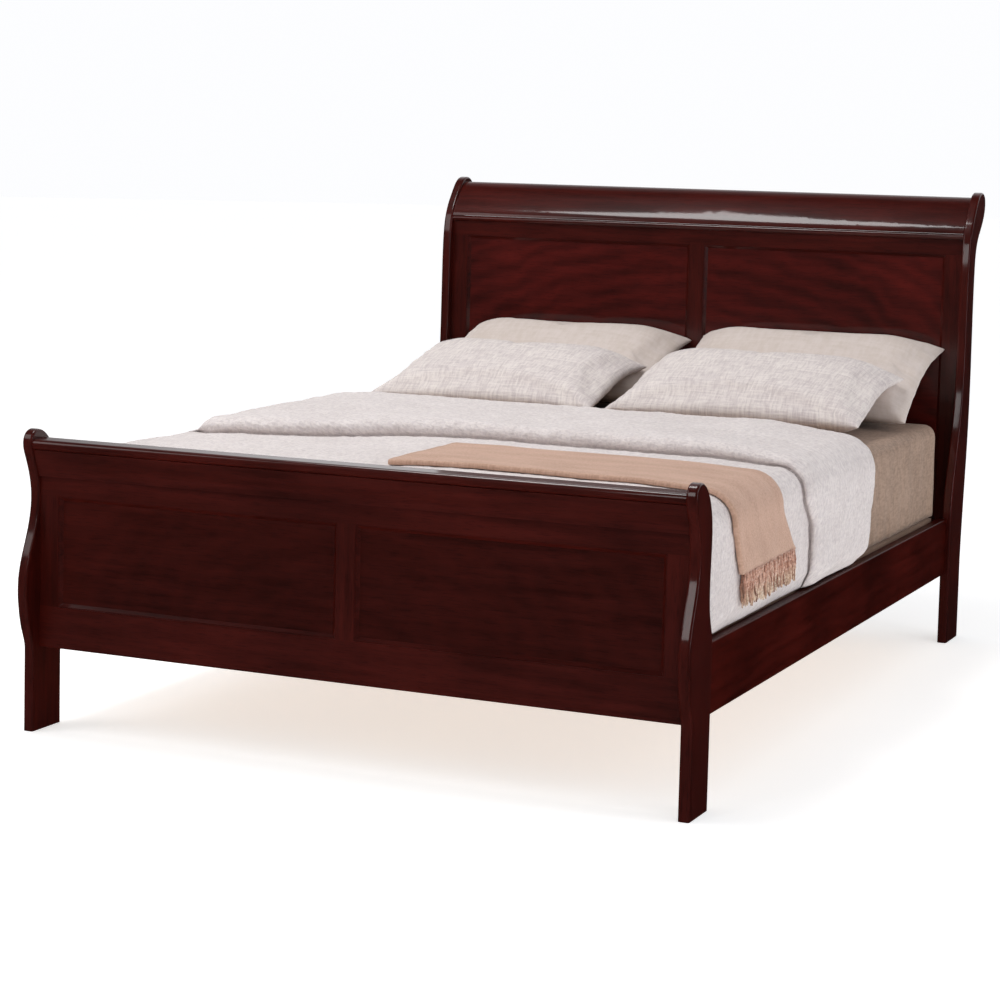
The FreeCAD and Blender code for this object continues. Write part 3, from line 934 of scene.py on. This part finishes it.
def tassel(points, faces, tones, root, layer, chooser):
    """One twisted tassel that hangs from its root, swells at its knot and frays at its end."""
    length = (FRINGE_HI.z - FRINGE_LO.z) * chooser.uniform(0.84, 1.06)
    radius = chooser.uniform(0.0020, 0.0028)
    sway_y = chooser.uniform(-0.006, 0.012)
    sway_x = chooser.uniform(-0.001, 0.003)
    phase = chooser.uniform(0.0, 6.28)
    tone = chooser.random()
    rings, around = 12, 6
    first = len(points)
    for r in range(rings + 1):
        t = r / rings
        bend = t * t
        centre = root + np.array([sway_x * bend + 0.0012 * math.sin(phase + 9.0 * t),
                                  sway_y * bend + 0.0016 * math.sin(phase + 7.0 * t), 0.002 - length * t])
        centre[0] += 0.0004 * layer
        swell = 1.0 + 0.18 * math.sin(phase + 30.0 * t)
        if t > 0.93:
            swell *= 0.55
        for k in range(around):
            angle = 2 * math.pi * k / around + 5.0 * t
            lobe = radius * swell * (1.0 + 0.22 * math.cos(2 * angle + 22.0 * t))
            points.append(centre + lobe * np.array([math.cos(angle), math.sin(angle), 0.0]))
            tones.append((tone, root[1], t))
    for r in range(rings):
        for k in range(around):
            a = first + r * around + k
            b = first + r * around + (k + 1) % around
            faces.append((a, a + around, b + around, b))
    faces.append(tuple(first + k for k in range(around)))
    faces.append(tuple(first + rings * around + k for k in reversed(range(around))))


# ---------------------------------------------------------------- pillows

MATTRESS_TOP = SHEET_HI.z + 0.0015
HEAD_WALL_Y = HEAD_RAIL_FRONT_Y - 0.003


def pillow_shell(name, width, length, puff, material, seed):
    """Two square panels sewn along their edges, then filled out."""
    across, up = 60, 38
    u = np.linspace(-1.0, 1.0, across + 1)
    v = np.linspace(-1.0, 1.0, up + 1)
    points = []
    top = np.empty((up + 1, across + 1), int)
    bottom = np.empty_like(top)
    for i, b in enumerate(v):
        for j, a in enumerate(u):
            rim = i in (0, up) or j in (0, across)
            swell = ((1 - a * a) * (1 - b * b)) ** 0.42
            x = width / 2 * a * (1.0 - 0.045 * (1 - b * b))
            y = length / 2 * b * (1.0 - 0.075 * (1 - a * a))
            high = puff / 2 * swell + 0.0006
            top[i, j] = len(points)
            points.append((x, y, 0.0 if rim else high))
            if rim:
                bottom[i, j] = top[i, j]
            else:
                bottom[i, j] = len(points)
                points.append((x, y, -high))
    faces = grid_faces(top) + [face[::-1] for face in grid_faces(bottom)]
    points = np.array(points)
    flat = points.copy()
    flat[:, 2] = 0.0
    piece = make_piece(name, points, faces, material, flat)
    fill_out(piece, puff, seed)
    subdivide(piece)
    return piece


LAST_FRAME = 26
TRAVEL_CAP = 0.020


def fill_out(piece, puff, seed):
    """Short pressure simulation that wrinkles the cloth along its seams, kept within a cap."""
    mesh = piece.data
    start = get_points(mesh)
    flat = start.copy()
    flat[:, 2] *= 0.35
    flat[:, 2] += 0.001 * rough(start[:, 0], start[:, 1], start[:, 2], 12.0, seed)
    set_points(mesh, flat)
    modifier = piece.modifiers.new("Cloth", "CLOTH")
    settings = modifier.settings
    settings.quality = 5
    settings.mass = 0.25
    settings.tension_stiffness = 25.0
    settings.compression_stiffness = 25.0
    settings.shear_stiffness = 8.0
    settings.bending_stiffness = 0.6
    settings.use_pressure = True
    settings.uniform_pressure_force = 6.0
    settings.effector_weights.gravity = 0.0
    modifier.point_cache.frame_start = 1
    modifier.point_cache.frame_end = LAST_FRAME
    for step in range(1, LAST_FRAME + 1):
        bpy.context.scene.frame_set(step)
    graph = bpy.context.evaluated_depsgraph_get()
    moved = get_points(piece.evaluated_get(graph).data)
    piece.modifiers.remove(modifier)
    bpy.context.scene.frame_set(1)
    travel = moved - start
    length = np.linalg.norm(travel, axis=1, keepdims=True)
    moved = start + travel * np.minimum(1.0, TRAVEL_CAP / np.maximum(length, 1e-9))
    moved[:, 2] *= puff / max(1e-6, np.ptp(moved[:, 2]))
    set_points(mesh, moved)


CORNER_DROP = 0.040
END_FOLDS = 0.006
FOOT_DROOP = 0.02
BED_GIVE = 0.012
WALL_GIVE = 0.015


def given(past, depth):
    """How far a soft side yields: freely at first, and never beyond the depth."""
    return depth * (1 - np.exp(-past / depth))


def settle_pillow(piece, centre, slope):
    """Bends a pillow, leans it back and rests it on the mattress and against the headboard."""
    x, y, z = get_points(piece.data).T
    half = np.abs(y).max()
    lean = math.radians(slope)
    z = z + FOOT_DROOP * np.clip(-y / half, 0.0, 1.0) ** 2
    across = np.abs(x) / np.abs(x).max()
    z = z - CORNER_DROP * smooth((across - 0.55) / 0.45) * np.clip(y / half, 0.0, 1.0) ** 2
    ends = smooth((across - 0.62) / 0.3) * (1.0 - across ** 12)
    z = z + END_FOLDS * ends * rough(x * 0.3, y, z * 0.2, 30.0, float(centre[0]) * 10.0)
    x = x + centre[0]
    leaned = y * math.cos(lean) - z * math.sin(lean) + centre[1]
    z = y * math.sin(lean) + z * math.cos(lean) + centre[2]
    floor, wall = MATTRESS_TOP + BED_GIVE, HEAD_WALL_Y - WALL_GIVE
    under, past = np.maximum(0.0, floor - z), np.maximum(0.0, leaned - wall)
    z = np.where(under > 0, floor - given(under, BED_GIVE), z)
    leaned = np.where(past > 0, wall + given(past, WALL_GIVE), leaned)
    set_points(piece.data, np.column_stack([x, leaned, z]))


def build_pillow(node, size, slope, shift, slot, material, seed):
    """One pillow over its node; size is width, length and puff, and slope is in degrees."""
    lo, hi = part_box(node)
    centre = (lo + hi) / 2 + Vector(shift)
    piece = pillow_shell(node + "_cover", *size, material, seed)
    settle_pillow(piece, centre, slope)
    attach(piece, node)
    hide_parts(node)


def build_pillows(ivory, sham):
    """Two ivory pillows against the headboard, with a sham in front of each."""
    back, front = ("ivory_cotton", ivory), ("white_sham", sham)
    build_pillow("pillow_back_left", (0.74, 0.46, 0.15), 27.0, (0, 0, -0.008), *back, 2.0)
    build_pillow("pillow_back_right", (0.76, 0.47, 0.16), 30.0, (-0.01, 0, -0.006), *back, 5.0)
    build_pillow("pillow_front_left", (0.71, 0.47, 0.15), 18.0, (0.03, 0, 0.0), *front, 9.0)
    build_pillow("pillow_front_right", (0.75, 0.47, 0.16), 19.0, (-0.008, 0, 0.006), *front, 13.0)


# ---------------------------------------------------------------- studio

DAYLIGHT = 0.57
ROOM_DARK = 0.005
ROOM_BRIGHT = 1.1
BACK_WALL = (0.2, 0.9)
WALL_FOOT = (0.02, 0.16)
WALL_LEFT = (-0.60, -0.45)


def add_floor():
    """Pale studio floor, wide enough to end out of sight."""
    rings, sectors, reach = 8, 64, 40.0
    points = [(0.0, 0.0, 0.0)]
    for r in range(1, rings + 1):
        for s in range(sectors):
            angle = 2 * math.pi * s / sectors
            distance = reach * (r / rings) ** 2
            points.append((distance * math.cos(angle), distance * math.sin(angle), 0.0))
    faces = [(0, 1 + s, 1 + (s + 1) % sectors) for s in range(sectors)]
    for r in range(rings - 1):
        for s in range(sectors):
            a = 1 + r * sectors + s
            b = 1 + r * sectors + (s + 1) % sectors
            faces.append((a, a + sectors, b + sectors, b))
    m = Nodes("studio_floor")
    speck = m.noise(m.place("object", (1.0, 1.0, 1.0)), 2.0, 2.0)
    pale = m.ramp(speck, [(0.2, (0.80, 0.80, 0.80)), (0.8, (0.84, 0.84, 0.84))])
    m.link(pale, m.shader.inputs["Base Color"])
    m.set(Roughness=0.9, Specular_IOR_Level=0.1, Emission_Color=(1.0, 1.0, 1.0, 1.0), Emission_Strength=0.55)
    floor = make_piece("studio_floor", np.array(points), faces, m.material)
    floor.visible_glossy = False


def add_light(name, place, aim, size, power, color=(1.0, 1.0, 1.0)):
    data = bpy.data.lights.new(name, "AREA")
    data.shape = "RECTANGLE"
    data.size, data.size_y = size
    data.energy = power
    data.color = color
    light = bpy.data.objects.new(name, data)
    direction = Vector(aim) - Vector(place)
    light.matrix_world = Matrix.Translation(place) @ direction.to_track_quat("-Z", "Y").to_matrix().to_4x4()
    bpy.context.scene.collection.objects.link(light)


def add_world():
    """White backdrop, even light on rough surfaces, and a darker room with a bright far side in gloss."""
    world = bpy.data.worlds.new("studio")
    world.use_nodes = True
    tree = world.node_tree
    tree.nodes.clear()
    path = tree.nodes.new("ShaderNodeLightPath")

    def surround(strength):
        node = tree.nodes.new("ShaderNodeBackground")
        node.inputs["Color"].default_value = (0.98, 0.985, 1.0, 1.0)
        if isinstance(strength, float):
            node.inputs["Strength"].default_value = strength
        else:
            tree.links.new(strength, node.inputs["Strength"])
        return node.outputs[0]

    def either(choice, no, yes):
        node = tree.nodes.new("ShaderNodeMixShader")
        tree.links.new(path.outputs[choice], node.inputs[0])
        tree.links.new(no, node.inputs[1])
        tree.links.new(yes, node.inputs[2])
        return node.outputs[0]

    coords = tree.nodes.new("ShaderNodeTexCoord")
    split = tree.nodes.new("ShaderNodeSeparateXYZ")
    tree.links.new(coords.outputs["Generated"], split.inputs[0])

    def step(axis, low, high, to_low, to_high):
        node = tree.nodes.new("ShaderNodeMapRange")
        node.interpolation_type = "SMOOTHSTEP"
        values = {"From Min": low, "From Max": high, "To Min": to_low, "To Max": to_high}
        for key, value in values.items():
            node.inputs[key].default_value = value
        tree.links.new(split.outputs[axis], node.inputs["Value"])
        return node.outputs[0]

    def combine(operation, a, b):
        node = tree.nodes.new("ShaderNodeMath")
        node.operation = operation
        tree.links.new(a, node.inputs[0])
        if isinstance(b, float):
            node.inputs[1].default_value = b
        else:
            tree.links.new(b, node.inputs[1])
        return node.outputs[0]

    wall = combine("MULTIPLY", step("Y", *BACK_WALL, 0.0, ROOM_BRIGHT), step("Z", *WALL_FOOT, 0.0, 1.0))
    wall = combine("MULTIPLY", wall, step("X", *WALL_LEFT, 0.15, 1.0))
    shown = either("Is Glossy Ray", surround(DAYLIGHT), surround(combine("ADD", wall, ROOM_DARK)))
    shown = either("Is Camera Ray", shown, surround(1.0))
    out = tree.nodes.new("ShaderNodeOutputWorld")
    tree.links.new(shown, out.inputs[0])
    bpy.context.scene.world = world


def add_studio():
    bpy.context.scene.view_settings.view_transform = "Standard"
    add_world()
    add_floor()
    add_light("overhead", (-1.0, -0.7, 4.3), (0.0, 0.2, 0.5), (1.5, 1.3), 72.0)
    add_light("key", (-3.6, -3.4, 3.4), (0.0, 0.0, 0.6), (2.4, 2.4), 45.0)
    add_light("front", (-0.5, -4.6, 2.3), (0.6, -1.1, 0.5), (0.4, 1.6), 9.0)
    add_light("side", (4.6, -0.6, 1.6), (0.5, 0.2, 0.6), (0.7, 2.8), 25.0, (0.92, 0.93, 1.0))


# ---------------------------------------------------------------- assembly

def main():
    add_camera()
    finish_frame()
    build_foundation(cloth("foundation_cloth", (0.33, 0.21, 0.15), (0.28, 0.175, 0.12), seed=1.0))
    build_mattress(cloth("mattress_cloth", (0.82, 0.80, 0.76), (0.76, 0.74, 0.70), seed=2.0))
    build_sheet(cloth("sheet_cloth", (0.375, 0.250, 0.178), (0.245, 0.158, 0.108), (40.0, 150.0), seed=3.0))
    build_duvet(cloth("duvet_cloth", (0.79, 0.725, 0.703), (0.71, 0.643, 0.623), crinkle=0.0035, seed=4.0))
    camel = cloth("throw_cloth", (0.60, 0.385, 0.290), (0.47, 0.29, 0.208), (60.0, 200.0), seed=5.0)
    build_throw(camel, fringe_yarn())
    ivory = cloth("ivory_cloth", (0.641, 0.558, 0.516), (0.585, 0.501, 0.449), (20.0, 90.0), seed=6.0)
    sham = cloth("sham_cloth", (0.757, 0.691, 0.653), (0.651, 0.583, 0.564), ribs=0.0022, seed=7.0)
    build_pillows(ivory, sham)
    add_studio()


main()
